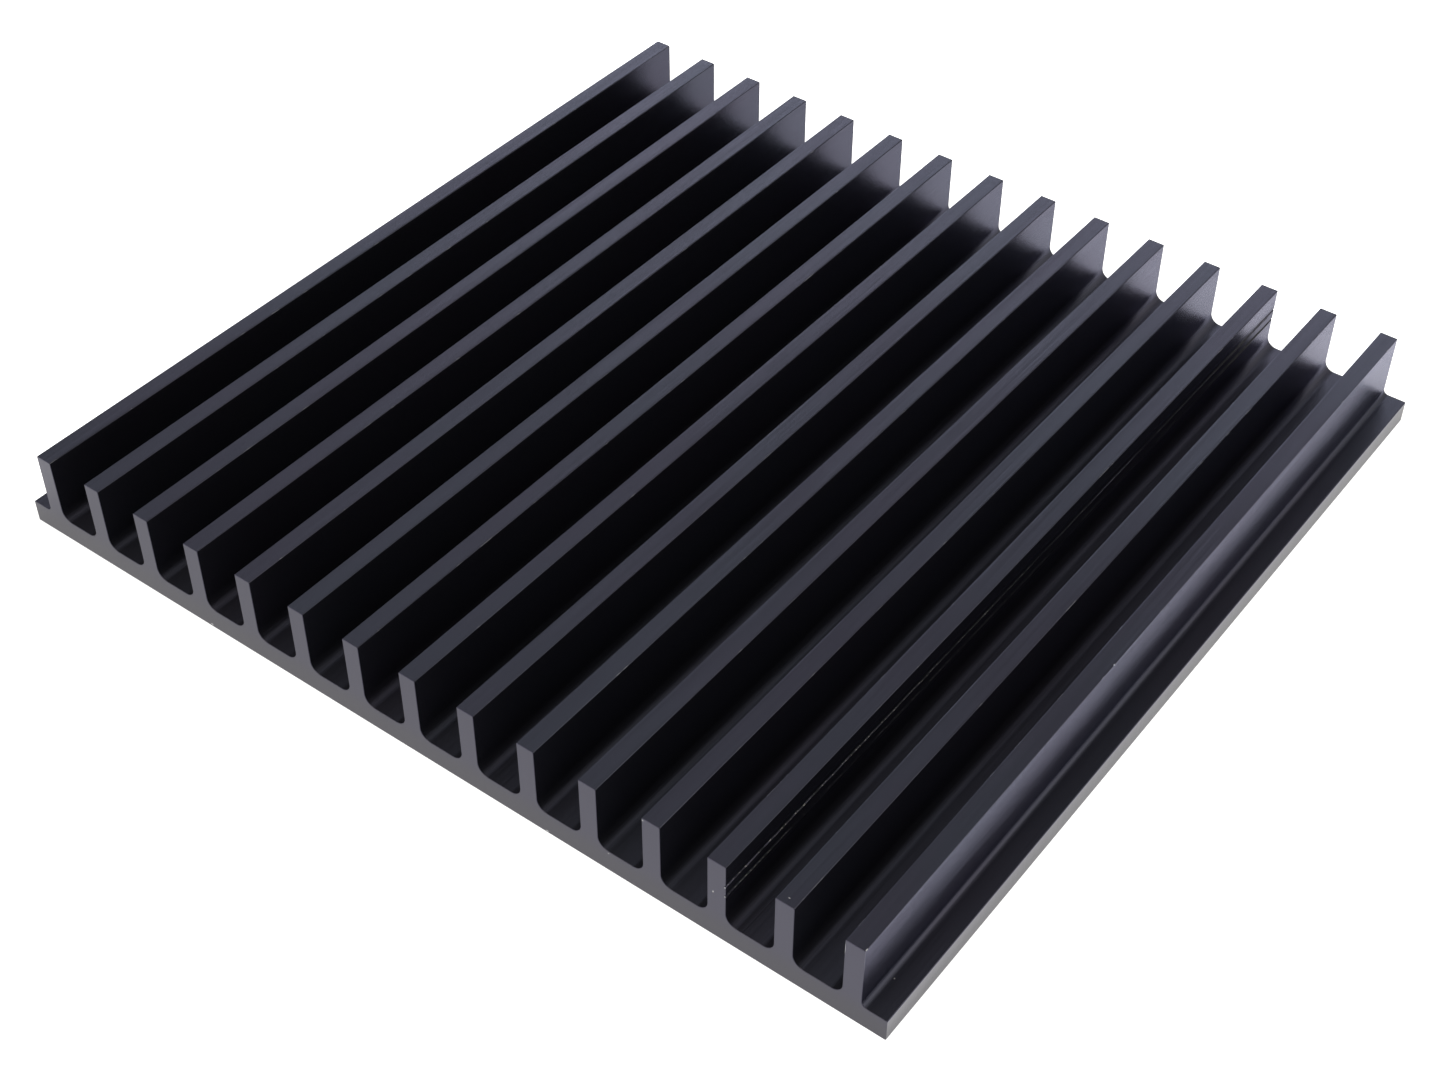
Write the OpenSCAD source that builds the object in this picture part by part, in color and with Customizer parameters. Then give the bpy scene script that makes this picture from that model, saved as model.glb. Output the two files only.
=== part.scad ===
// Extruded aluminium heat sink: a flat base plate with a row of straight fins, cut to length.
// X runs across the fins, Y along the extrusion and Z up. The origin is the centre of the underside.

/* [Extrusion] */
// Cut length of the extrusion, along Y
sink_length = 100; // [40:1:200]
// Height from the underside to the fin tips
sink_height = 10; // [9.5:0.1:25]

/* [Base plate] */
// Thickness of the base plate
base_thickness = 2.6; // [1.5:0.1:3.5]
// Width of the plain ledge outside each outer fin
ledge_width = 2.6; // [1.6:0.1:10]
// Rounding of the base plate's four long edges
base_edge_radius = 0.1; // [0.05:0.05:0.4]

/* [Fins] */
// Number of fins
fin_count = 15; // [3:1:24]
// Distance from one fin to the next
fin_pitch = 7; // [6:0.1:12]
// Thickness of a fin
fin_thickness = 1.95; // [1.2:0.05:2.4]
// Rounding of the two long edges of a fin tip
tip_edge_radius = 0.1; // [0.05:0.05:0.5]

/* [Root fillets] */
// Fillet between two fins, where a wall meets the channel floor
channel_fillet_radius = 1.2; // [0.4:0.1:1.7]
// Fillet on the outer side of an outer fin, where it meets the ledge
ledge_fillet_radius = 0.6; // [0.2:0.1:1]

/* [Score lines] */
// Scored fin, counted from the +X side
scored_fin = 3; // [1:1:3]
// Distance of the upper score line below the fin tip
score_drop = 2.5; // [1:0.1:2.6]
// Distance from the upper score line to the lower one
score_spacing = 1.3; // [0.5:0.1:1.5]
// Width of a score line at the wall
score_width = 0.26; // [0.1:0.02:0.3]
// Depth of a score line's V groove
score_depth = 0.14; // [0.04:0.02:0.3]

/* [Hidden] */
$fn = 48;
overlap = 0.5;
fin_height = sink_height - base_thickness;
fin_row_width = (fin_count - 1) * fin_pitch;
sink_width = fin_row_width + fin_thickness + 2 * ledge_width;

// X of a fin's middle, with fin 0 at the -X side
function fin_x(i) = i * fin_pitch - fin_row_width / 2;

// Rectangle on the X axis, with the corners of its top edge rounded
module round_topped(width, height, radius) {
    translate([-width / 2, 0])
        square([width, height - radius]);
    translate([-width / 2 + radius, 0])
        square([width - 2 * radius, height]);
    for (side = [-1, 1])
        translate([side * (width / 2 - radius), height - radius])
            circle(radius);
}

// Concave fillet that fills the corner at the origin, between the X and Y axes
module corner_fillet(radius) {
    difference() {
        translate([-overlap, -overlap])
            square(radius + overlap);
        translate([radius, radius])
            circle(radius);
    }
}

// Base plate's section, with all four corners rounded
module base_section() {
    translate([0, base_thickness / 2]) {
        round_topped(sink_width, base_thickness / 2, base_edge_radius);
        mirror([0, 1])
            round_topped(sink_width, base_thickness / 2, base_edge_radius);
    }
}

// One fin's section on the base plate, with the fillet radius at its left and right root
module fin_section(left_radius, right_radius) {
    translate([0, base_thickness - overlap])
        round_topped(fin_thickness, fin_height + overlap, tip_edge_radius);
    translate([fin_thickness / 2, base_thickness])
        corner_fillet(right_radius);
    translate([-fin_thickness / 2, base_thickness])
        mirror([1, 0])
            corner_fillet(left_radius);
}

// V groove cut into a wall that faces +X at the origin
module score_groove() {
    polygon([
        [0, -score_width / 2],
        [-score_depth, 0],
        [0, score_width / 2]
    ]);
}

// Two parallel score lines down the +X wall of one fin
module score_lines() {
    wall_x = fin_x(fin_count - scored_fin) + fin_thickness / 2;
    for (drop = [score_drop, score_drop + score_spacing])
        translate([wall_x, sink_height - drop])
            score_groove();
}

// Whole section of the extrusion, X across and Y up
module sink_section() {
    difference() {
        union() {
            base_section();
            for (i = [0 : fin_count - 1])
                translate([fin_x(i), 0])
                    fin_section(
                        i == 0 ? ledge_fillet_radius : channel_fillet_radius,
                        i == fin_count - 1 ? ledge_fillet_radius : channel_fillet_radius
                    );
        }
        score_lines();
    }
}

// The extrusion, cut square at both ends and anodised black
module heat_sink() {
    color("#26262a")
        rotate([90, 0, 0])
            linear_extrude(sink_length, center = true)
                sink_section();
}

heat_sink();
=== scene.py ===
import math

import bpy
from mathutils import Matrix, Vector, noise


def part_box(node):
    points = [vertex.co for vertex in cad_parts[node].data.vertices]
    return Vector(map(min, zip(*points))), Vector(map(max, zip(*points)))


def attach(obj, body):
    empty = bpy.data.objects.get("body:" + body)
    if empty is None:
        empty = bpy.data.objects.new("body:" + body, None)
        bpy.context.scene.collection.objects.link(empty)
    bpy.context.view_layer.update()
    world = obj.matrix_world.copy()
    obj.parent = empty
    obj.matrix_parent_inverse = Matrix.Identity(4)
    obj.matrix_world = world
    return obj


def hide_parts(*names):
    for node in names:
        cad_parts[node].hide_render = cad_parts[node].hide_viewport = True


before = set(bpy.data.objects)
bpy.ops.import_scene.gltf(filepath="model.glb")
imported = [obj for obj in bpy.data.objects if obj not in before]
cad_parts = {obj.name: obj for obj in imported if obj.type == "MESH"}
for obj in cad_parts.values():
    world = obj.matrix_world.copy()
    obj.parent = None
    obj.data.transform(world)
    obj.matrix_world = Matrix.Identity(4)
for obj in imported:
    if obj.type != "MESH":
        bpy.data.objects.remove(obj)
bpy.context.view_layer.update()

# The extrusion: one length of aluminium pushed through a die, with a flat base plate, fifteen straight fins
# and a plain ledge outside the outer fins. It is sawn square at both ends and then anodised black.
MM = 0.001
high_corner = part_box("heat_sink")[1]
half_length = high_corner.y
half_width = high_corner.x
height = high_corner.z
base_thickness = 2.6 * MM
base_edge_radius = 0.1 * MM
fin_count = 15
fin_pitch = 7.0 * MM
fin_half = 0.975 * MM
tip_radius = 0.1 * MM
channel_fillet = 1.2 * MM
ledge_fillet = 0.6 * MM
cut_edge = 0.05 * MM
fillet_steps = 16
edge_steps = 6


def fin_middle(index):
    """X of a fin's middle, with fin 0 at the -X side."""
    return (index - (fin_count - 1) / 2) * fin_pitch


def bend(x, z, radius, start, end, steps, hollow=False):
    """Points of a rounded edge or a hollow fillet about (x, z), each with its normal out of the metal."""
    side = -1 if hollow else 1
    points = []
    for step in range(steps + 1):
        angle = math.radians(start + (end - start) * step / steps)
        normal = Vector((math.cos(angle), 0, math.sin(angle)))
        points.append((Vector((x, 0, z)) + side * radius * normal, normal))
    return points


# Two score lines run down one wall of the third fin from the right, dragged into the hot metal by a worn
# spot on the die. They are V grooves, and the first of each pair of values is the lower line's.
scored_fin = 12
score_wall = fin_middle(scored_fin) + fin_half
wall_normal = Vector((1, 0, 0))
score_drop = 2.5 * MM
score_spacing = 1.3 * MM
score_heights = (height - score_drop - score_spacing, height - score_drop)
score_half_width = 0.13 * MM
score_depth = 0.14 * MM
score_faint_width = 0.25


def score_points(y, line, depth, wander, spread):
    """The lower lip, bottom and upper lip of a score line at one place along it."""
    z = score_heights[line] + wander
    opening = score_half_width * (score_faint_width + (1 - score_faint_width) * depth) * spread
    return [
        Vector((score_wall, y, z - opening)),
        Vector((score_wall - score_depth * depth, y, z)),
        Vector((score_wall, y, z + opening)),
    ]


score_section = [(point, wall_normal) for line in (0, 1) for point in score_points(0, line, 1, 0, 1)]


def fin_outline(index):
    """One fin's outline from its right root over the tip to its left root."""
    middle = fin_middle(index)
    right = ledge_fillet if index == fin_count - 1 else channel_fillet
    left = ledge_fillet if index == 0 else channel_fillet
    tip_z = height - tip_radius
    outline = bend(middle + fin_half + right, base_thickness + right, right, 90, 0, fillet_steps, True)
    if index == scored_fin:
        outline += score_section
    outline += bend(middle + fin_half - tip_radius, tip_z, tip_radius, 0, 90, edge_steps)
    outline += bend(middle - fin_half + tip_radius, tip_z, tip_radius, 90, 180, edge_steps)
    outline += bend(middle - fin_half - left, base_thickness + left, left, 180, 90, fillet_steps, True)
    return outline


# The whole section's outline, from the lower left edge along the underside and back over the fins.
fins = [fin_outline(index) for index in reversed(range(fin_count))]
edge_x = half_width - base_edge_radius
top_z = base_thickness - base_edge_radius
bottom_edges = (bend(-edge_x, base_edge_radius, base_edge_radius, 180, 270, edge_steps)
                + bend(edge_x, base_edge_radius, base_edge_radius, 270, 360, edge_steps))
right_edge = bend(edge_x, top_z, base_edge_radius, 0, 90, edge_steps)
left_edge = bend(-edge_x, top_z, base_edge_radius, 90, 180, edge_steps)
outline = bottom_edges + right_edge + sum(fins, []) + left_edge
count = len(outline)
plate_sides = (len(bottom_edges) - 1, count - 1)
fins_start = len(bottom_edges) + len(right_edge)

vertices = []
faces = []
face_normals = []
face_finish = []
SKIN, SAWN, TORN = 0, 1, 2


def add_row(points):
    """Adds points to the mesh and returns their numbers."""
    vertices.extend(points)
    return list(range(len(vertices) - len(points), len(vertices)))


def add_face(corners, normals, finish):
    """Adds one face with a normal for each of its corners."""
    faces.append(corners)
    face_normals.extend(normals)
    face_finish.append(finish)


# Each end has two rings: the full outline, and the cut face's own outline just inside the broken edge.
rings = {}
for end in (-1, 1):
    full_y = Vector((0, end * (half_length - cut_edge), 0))
    face_y = Vector((0, end * half_length, 0))
    rings[end] = (add_row([point + full_y for point, normal in outline]),
                  add_row([point - cut_edge * normal + face_y for point, normal in outline]))

# Long faces run from end to end, apart from the scored wall, and the broken edge goes round both cuts.
scored_start = fins_start + sum(len(fin) for fin in fins[:fin_count - 1 - scored_fin]) + fillet_steps
scored_end = scored_start + len(score_section) + 1
front, back = rings[-1][0], rings[1][0]
for i in range(count):
    j = (i + 1) % count
    normal_i, normal_j = outline[i][1], outline[j][1]
    finish = SAWN if i in plate_sides else SKIN
    if not scored_start <= i < scored_end:
        add_face((front[i], back[i], back[j], front[j]), (normal_i, normal_i, normal_j, normal_j), finish)
    for end in (-1, 1):
        full, face = rings[end]
        away = Vector((0, end, 0))
        corners = (full[i], full[j], face[j], face[i])
        normals = (normal_i, normal_j, away, away)
        if end > 0:
            corners, normals = corners[::-1], normals[::-1]
        add_face(corners, normals, SAWN)

# The cut faces: one face for the plate and one for each fin above it.
for end in (-1, 1):
    face = rings[end][1]
    at = fins_start
    plate = list(range(at))
    fin_shapes = []
    for fin in fins:
        plate += [at, at + len(fin) - 1]
        fin_shapes.append(list(range(at, at + len(fin))))
        at += len(fin)
    plate += list(range(at, count))
    for shape in [plate] + fin_shapes:
        corners = [face[i] for i in shape]
        if end > 0:
            corners.reverse()
        add_face(corners, [Vector((0, end, 0))] * len(corners), SAWN)


def eased(value, low, high):
    """0 at low, 1 at high and a smooth step from one to the other."""
    share = min(1, max(0, (value - low) / (high - low)))
    return share * share * (3 - 2 * share)


def uneven(y, line, lump, line_step, seed):
    """Noise along a score line, in lumps of about the given length."""
    return noise.noise((y / lump, line_step * line, seed))


# The scored wall: plain metal above, between and below the two grooves, and four ragged flanks. Their depth
# comes and goes, and they open wider near the back end. Places are shares of the length from the front.
score_stations = 500
score_run_out = 0.02
score_back_end = (0.82, 0.92)
score_fade = ((0.02, 0.12), (0.1, 0.5))
score_wear = (0.3, 0.1)
score_fade_wear = 0.4
score_drag_wear = 0.6
score_rag_wear = 0.45
score_most_wear = 0.92
score_spread = (0.7, 1.1)
score_drag = (5 * MM, 3.7, 0.5)
score_rag = (0.6 * MM, 5.1, 2.5)
score_sway = (1.1 * MM, 8.3, 4.5)
score_sway_reach = 0.06 * MM
rows = [[front[i]] for i in range(scored_start + 1, scored_end)]
for station in range(1, score_stations):
    along = station / score_stations
    y = (2 * along - 1) * (half_length - cut_edge)
    ends = eased(along, 0, score_run_out) * eased(along, 1, 1 - score_run_out)
    back_end = eased(along, *score_back_end)
    points = []
    for line in (0, 1):
        fade = eased(along, *score_fade[line]) * (1 - back_end)
        worn = score_wear[line] * (1 - back_end)
        worn += fade * (score_fade_wear - score_drag_wear * uneven(y, line, *score_drag))
        worn -= score_rag_wear * uneven(y, line, *score_rag)
        depth = 1 - ends * min(score_most_wear, max(0, worn))
        wander = ends * score_sway_reach * uneven(y, line, *score_sway)
        spread = 1 + score_spread[line] * ends * back_end
        points += score_points(y, line, depth, wander, spread)
    for row, number in zip(rows, add_row(points)):
        row.append(number)
for row, i in zip(rows, range(scored_start + 1, scored_end)):
    row.append(back[i])
wall_foot = [front[scored_start], back[scored_start]]
wall_head = [front[scored_end], back[scored_end]]
for lower, upper in ((wall_foot, rows[0]), (rows[2], rows[3]), (rows[5], wall_head)):
    corners = lower + upper[::-1]
    add_face(corners, [wall_normal] * len(corners), SKIN)
for lower, upper in ((0, 1), (1, 2), (3, 4), (4, 5)):
    for k in range(score_stations):
        corners = (rows[lower][k], rows[lower][k + 1], rows[upper][k + 1], rows[upper][k])
        a, b, c = (vertices[corner] for corner in corners[:3])
        add_face(corners, [(b - a).cross(c - b).normalized()] * 4, TORN)

mesh = bpy.data.meshes.new("finned_plate")
mesh.from_pydata(vertices, [], faces)
mesh.polygons.foreach_set("use_smooth", [True] * len(faces))
mesh.polygons.foreach_set("material_index", face_finish)
mesh.normals_split_custom_set(face_normals)
finned_plate = bpy.data.objects.new("finned_plate", mesh)
bpy.context.scene.collection.objects.link(finned_plate)


class Wire:
    """A node's output that takes part in sums: each operator adds a Math node to its tree."""

    def __init__(self, tree, socket=None):
        self.tree = tree
        self.socket = socket

    def plug(self, target, value):
        """Sets a socket to a plain value, or links it to another node's output."""
        if isinstance(value, Wire):
            self.tree.links.new(value.socket, target)
        else:
            target.default_value = value

    def node(self, kind, settings=None, inputs=None, output=0):
        """Adds a node: its settings are set first, then its sockets' values and links."""
        made = self.tree.nodes.new(kind)
        for name, value in (settings or {}).items():
            setattr(made, name, value)
        for name, value in (inputs or {}).items():
            self.plug(made.inputs[name], value)
        return Wire(self.tree, made.outputs[output])

    def maths(self, operation, first, second=0.0):
        """Adds a Math node for one operation on values."""
        return self.node("ShaderNodeMath", {"operation": operation}, {0: first, 1: second})

    def __add__(self, other):
        return self.maths("ADD", self, other)

    def __sub__(self, other):
        return self.maths("SUBTRACT", self, other)

    def __rsub__(self, other):
        return self.maths("SUBTRACT", other, self)

    def __mul__(self, other):
        return self.maths("MULTIPLY", self, other)

    def __truediv__(self, other):
        return self.maths("DIVIDE", self, other)

    def __rtruediv__(self, other):
        return self.maths("DIVIDE", other, self)

    def __pow__(self, other):
        return self.maths("POWER", self, other)

    def __rpow__(self, other):
        return self.maths("POWER", other, self)

    __radd__ = __add__
    __rmul__ = __mul__

    def between(self, low, high):
        """0 at low, 1 at high and a smooth step from one to the other."""
        return self.node("ShaderNodeMapRange", {"interpolation_type": "SMOOTHSTEP"},
                         {"Value": self, "From Min": low, "From Max": high})

    def mixed(self, first, second):
        """A colour from first, where this value is 0, to second, where it is 1."""
        return self.node("ShaderNodeMix", {"data_type": "RGBA"}, {0: self, 6: first, 7: second}, 2)


def new_finish(name, **constants):
    """A material with one shader on its output, and the shader's even values set."""
    material = bpy.data.materials.new(name)
    material.use_nodes = True
    shader = material.node_tree.nodes["Principled BSDF"]
    for socket, value in constants.items():
        shader.inputs[socket.replace("_", " ")].default_value = value
    return material, shader, Wire(material.node_tree)


def place_on_part(start):
    """The place on the piece in its own coordinates, in metres."""
    return start.node("ShaderNodeTexCoord", output="Object")


def parts_of(vector, axes):
    """A vector's part along each of the named axes."""
    return [vector.node("ShaderNodeSeparateXYZ", {}, {0: vector}, axis) for axis in axes]


def noise_along(start, stretch, scale, detail):
    """Noise over the part's own coordinates, stretched by a different amount along each axis."""
    scaled = start.node("ShaderNodeVectorMath", {"operation": "MULTIPLY"},
                        {0: place_on_part(start), 1: stretch})
    return start.node("ShaderNodeTexNoise", {}, {"Vector": scaled, "Scale": scale, "Detail": detail}, "Fac")


# Nicks, dust specks and two painted highlights on fin edges, each with its place and its reach along X, Y
# and Z, in millimetres.
nicks_and_glints = (
    ((23.15, -50.0, 2.35), (0.10, 0.1, 0.06)),
    ((34.65, -50.0, 5.91), (0.07, 0.1, 0.17)),
    ((41.97, -49.3, 10.0), (0.12, 0.06, 0.1)),
    # a painted glint on a fin's front top left corner
    ((27.15, -50.0, 9.75), (0.12, 0.1, 0.10)),
    ((-27.0, -50.0, 0.3), (0.20, 0.1, 0.10)),
    ((16.0, -50.0, 0.2), (0.20, 0.1, 0.10)),
    ((50.62, -46.03, 2.6), (0.08, 0.08, 0.1)),
    ((49.95, -10.07, 9.97), (0.10, 0.14, 0.10)),
    # a painted highlight along the outer fin's top right edge, near the front
    ((49.95, -49.75, 9.97), (0.09, 0.20, 0.08)),
    ((35.90, -50.0, 7.34), (0.07, 0.1, 0.09)),
    ((35.91, -50.0, 6.14), (0.08, 0.1, 0.10)),
    ((48.06, -50.0, 8.9), (0.045, 0.1, 0.90)),
    ((32.64, 24.9, 10.0), (0.10, 0.10, 0.1)),
)
nick_and_glint_core = 0.4


def nick_or_glint_mask(start):
    """1 in the nicks, specks and painted highlights, and 0 elsewhere."""
    mask = 0.0
    here = place_on_part(start)
    for place, reach in nicks_and_glints:
        away = start.node("ShaderNodeVectorMath", {"operation": "SUBTRACT"},
                          {0: here, 1: [MM * size for size in place]})
        scaled = start.node("ShaderNodeVectorMath", {"operation": "DIVIDE"},
                            {0: away, 1: [MM * size for size in reach]})
        distance = start.node("ShaderNodeVectorMath", {"operation": "LENGTH"}, {0: scaled}, "Value")
        mask = distance.between(1.0, nick_and_glint_core) + mask
    return mask


# The skin that left the die: black dye sealed under a clear film over the metal, satin, with faint drawn
# lines along the extrusion. The tip edges are rubbed in spots, one edge has a painted highlight, and the
# wall by the score lines is scuffed.
film_violet = (0.0385, 0.0375, 0.0530, 1)
film_blue = (0.0375, 0.0395, 0.0540, 1)
rubbed_metal_and_glint = (0.30, 0.30, 0.31, 1)
skin_roughness = 0.20
drawn_depth = 0.0105 * MM
wall_margin = 0.05 * MM
scuff_below = 0.5 * MM
scuff_above = 1.1 * MM
scuff_full = 0.1 * MM
skin, shader, start = new_finish(
    "black_anodised_skin", Metallic=0.86, Specular_IOR_Level=0.0, Specular_Tint=(0.88, 0.88, 1.0, 1))
drawn = noise_along(start, stretch=(1, 0.002, 1), scale=30000, detail=0)
streak = noise_along(start, stretch=(1, 0.012, 1), scale=700, detail=2)
cloud = noise_along(start, stretch=(1, 0.3, 1), scale=120, detail=2)
rub = noise_along(start, stretch=(1, 0.5, 1), scale=900, detail=2).between(0.6, 0.72)
across, rise = parts_of(place_on_part(start), "XZ")
from_middle = start.maths("PINGPONG", across, fin_pitch / 2)
tip_edge = from_middle.between(fin_half - tip_radius, fin_half) * rise.between(height - tip_radius, height)
# Pale metal in the nicks, the specks, the painted highlights and the rubbed spots on the tip edges.
nick_glint_or_rub = start.maths("MAXIMUM", nick_or_glint_mask(start), 0.3 * tip_edge * rub)
film = cloud.between(0.3, 0.7).mixed(film_violet, film_blue)
start.plug(shader.inputs["Base Color"], nick_glint_or_rub.mixed(film, rubbed_metal_and_glint))
off_wall = start.maths("ABSOLUTE", across - score_wall)
on_scored_wall = off_wall.between(2 * wall_margin, wall_margin)
from_below = rise.between(score_heights[0] - scuff_below, score_heights[0])
from_above = rise.between(score_heights[1] + scuff_above, score_heights[1] + scuff_full)
scuffed = on_scored_wall * from_below * from_above
start.plug(shader.inputs["Roughness"],
           skin_roughness + 0.06 * streak + 0.04 * cloud + 0.3 * nick_glint_or_rub + 0.14 * scuffed)
start.plug(shader.inputs["Normal"], start.node(
    "ShaderNodeBump", {}, {"Strength": 1.0, "Distance": drawn_depth, "Height": drawn + 2 * streak}))

# The sawn ends and the trimmed sides of the plate: the same film over a blade-cut face, so duller and a
# little paler, with faint blade marks.
plate_dark = (0.013, 0.012, 0.0165, 1)
plate_pale = (0.0185, 0.0175, 0.0205, 1)
fin_end_film = (0.014, 0.013, 0.027, 1)
nicked_metal_and_glint = (0.42, 0.42, 0.43, 1)
sawn_roughness = 0.23
blade_depth = 0.004 * MM
sawn, shader, start = new_finish("black_anodised_sawn", IOR=1.5, Specular_Tint=(0.78, 0.76, 1.0, 1))
blade = noise_along(start, stretch=(1, 1, 0.08), scale=2400, detail=3)
grain = noise_along(start, stretch=(1, 1, 1), scale=5200, detail=2)
cloud = noise_along(start, stretch=(1, 1, 1), scale=90, detail=2)
rise = parts_of(place_on_part(start), "Z")[0]
film = rise.between(1 * MM, 4 * MM).mixed(cloud.mixed(plate_dark, plate_pale), fin_end_film)
# Pale metal in the nicks and specks, and a painted glint on a fin's front top corner.
start.plug(shader.inputs["Base Color"], nick_or_glint_mask(start).mixed(film, nicked_metal_and_glint))
start.plug(shader.inputs["Roughness"], sawn_roughness + 0.08 * grain + 0.06 * blade)
start.plug(shader.inputs["Normal"], start.node(
    "ShaderNodeBump", {}, {"Strength": 0.3, "Distance": blade_depth, "Height": blade + grain}))

# The score lines' torn metal: rough and greyer where the film is thin, most of all towards the front. The
# upper line is also bare at the back end, and on a stretch past the middle it has a painted glint, painted
# as bare metal.
torn_film = (0.004, 0.004, 0.008, 1)
torn_metal_and_glint = (0.115, 0.11, 0.17, 1)
bright_fleck = (0.48, 0.48, 0.50, 1)
least_bare = 0.06
torn, shader, start = new_finish("black_anodised_torn", IOR=1.5, Roughness=0.6, Specular_IOR_Level=0.2)
tear = noise_along(start, stretch=(1, 0.4, 1), scale=2500, detail=2)
spots = noise_along(start, stretch=(1, 1, 1), scale=5000, detail=0)
along, rise = parts_of(place_on_part(start), "YZ")
lower = rise.between(score_heights[1], score_heights[0])
upper_front = 0.55 * along.between(-10 * MM, -45 * MM) + 0.3 * along.between(-43 * MM, -48.5 * MM)
# a painted glint along the upper line, painted as bare metal
upper_middle_glint = 0.5 * along.between(8 * MM, 13 * MM) * along.between(21 * MM, 17 * MM)
upper_back = 0.4 * along.between(42.5 * MM, 45 * MM)
lower_front = 0.09 * along.between(-10 * MM, -28 * MM) + 0.17 * along.between(-46.5 * MM, -48.5 * MM)
reach = (upper_front + upper_middle_glint + upper_back) * (1 - lower) + lower_front * lower
bare_or_glint = tear.between(0.25, 0.6) * (least_bare + (1 - least_bare) * reach)
fleck = spots.between(0.6, 0.72) * along.between(20 * MM, -50 * MM) * (1 - 0.7 * lower)
start.plug(shader.inputs["Base Color"], fleck.mixed(bare_or_glint.mixed(torn_film, torn_metal_and_glint), bright_fleck))

for finish in (skin, sawn, torn):
    mesh.materials.append(finish)
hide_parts("heat_sink")
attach(finned_plate, "root")

# The light table: a wide sheet of white plastic, lit from below, that the part lies on. It is so bright
# that no shadow shows round the part. Its glow is painted with light and shade: a painted contact shadow
# keeps it plain right by the part, and painted pools of light make it glow more beside and behind it,
# further back from the front and at the front right.
table_half = 6.0
table_drop = 0.05 * MM
table_level = 0.95
table_signs = ((-1, -1), (1, -1), (1, 1), (-1, 1))
table_corners = [(x * table_half, y * table_half, -table_drop) for x, y in table_signs]
table_mesh = bpy.data.meshes.new("light_table")
table_mesh.from_pydata(table_corners, [], [(0, 1, 2, 3)])
light_table = bpy.data.objects.new("light_table", table_mesh)
bpy.context.scene.collection.objects.link(light_table)
table_white, shader, start = new_finish(
    "light_table_white", Base_Color=(0.2, 0.2, 0.2, 1), Roughness=0.8, Specular_IOR_Level=0.0,
    Emission_Strength=1.0)
across, along = parts_of(place_on_part(start), "XY")
# Painted light and shade on the table's glow: none close to the part as a painted contact shadow, more
# further out on each side and behind, and more at the front right.
out_right = across - half_width + 0.4 * MM * along.between(-25 * MM, -45 * MM)
out_left = 0 - across - half_width
out_back = along - half_length
painted_glow_right = out_right.between(0.5 * MM, 2.6 * MM) * (1.15 - 0.2 * along.between(-30 * MM, 30 * MM))
painted_glow_left = 0.4 * out_left.between(0, 5 * MM)
painted_glow_behind = 0.6 * out_back.between(0.5 * MM, 8 * MM)
painted_glow_past_front = 0.12 * along.between(-60 * MM, -20 * MM)
painted_glow_front_right = 0.14 * across.between(-30 * MM, 50 * MM) * along.between(-40 * MM, -55 * MM)
glow_with_painted_shade = table_level + painted_glow_past_front + painted_glow_front_right + painted_glow_left + start.maths("MAXIMUM", painted_glow_right, painted_glow_behind)
start.plug(shader.inputs["Emission Color"], glow_with_painted_shade)
table_mesh.materials.append(table_white)

# The light tent: soft white cloth all round, lit from outside. A bright screen stands low behind the part,
# the left side glows, a dimmer strip stands on the right, and a lamp overhead leans to the front. Places in
# it are parts of a direction of length 1; slope is its rise as seen from the side, and pitch from the front.
tent_light = 0.36
left_light = 1.4
screen_light = 4.0
strip_light = 1.9
lamp_light = 4.7
tent_white = (0.97, 1.0, 1.0, 1)
lamp_white = (1.09, 1.0, 0.77, 1)
world = bpy.data.worlds.new("light_tent")
bpy.context.scene.world = world
world.use_nodes = True
start = Wire(world.node_tree)
east, north, rise = parts_of(start.node("ShaderNodeTexCoord", output="Generated"), "XYZ")
west = 0 - east
slope = rise / (north * north + rise * rise) ** 0.5
pitch = rise / (east * east + rise * rise) ** 0.5
right = east.between(0.1, 0.3)
left_fall = 0.54 + 0.6 * slope.between(0.87, 0.76) - 0.62 * slope.between(0.74, 0.65)
left_side = left_light * west.between(0.2, 0.9) * left_fall
screen_fall = slope.between(0.622, 0.541) - 0.7 * slope.between(0.5, 0.35)
screen = screen_light * (1 - right) * screen_fall
strip_fall = pitch.between(0.895, 0.79) - 0.35 * pitch.between(0.3, 0.05)
strip = right * north.between(0.2, 0.45) * (strip_light - 1.05 * north.between(0.5, 0.8)) * strip_fall
over_part = east.between(-0.38, -0.15) * rise.between(0.55, 0.7)
over_bright = 0.75 * north.between(0.43, 0.50) * north.between(0.56, 0.50)
over_dim = 0.20 * north.between(0.58, 0.72)
cloth = tent_light - 0.14 * right + 0.06 * slope.between(0.80, 0.68) + over_part * (over_bright - over_dim)
cloth = cloth + (left_side + screen) * west.between(0.85, 0.70) + strip
lamp = (0.97 * rise - 0.25 * north).between(0.86, 0.96)
warm = start.maths("MAXIMUM", lamp, 0.4 * east.between(0.0, 0.3))
background = world.node_tree.nodes["Background"]
start.plug(background.inputs["Color"], warm.mixed(tent_white, lamp_white))
start.plug(background.inputs["Strength"], cloth + lamp_light * lamp)
bpy.context.scene.view_settings.view_transform = "Standard"

# The camera: it looks down on the front right corner, with a plain lens and no shift.
look_at = Vector((8.375, -14.233, 5.0)) * MM
camera_distance = 222.602 * MM
camera_azimuth = math.radians(36.8837)
camera_elevation = math.radians(43.0936)
camera_roll = math.radians(0.2698)
camera_data = bpy.data.cameras.new("camera")
camera_data.sensor_width = 36
camera_data.lens = 56.176
camera_data.clip_start = 0.01
camera = bpy.data.objects.new("camera", camera_data)
bpy.context.scene.collection.objects.link(camera)
turn = (Matrix.Rotation(camera_azimuth, 4, "Z") @ Matrix.Rotation(math.pi / 2 - camera_elevation, 4, "X")
        @ Matrix.Rotation(camera_roll, 4, "Z"))
camera.matrix_world = Matrix.Translation(look_at) @ turn @ Matrix.Translation((0, 0, camera_distance))
bpy.context.scene.camera = camera
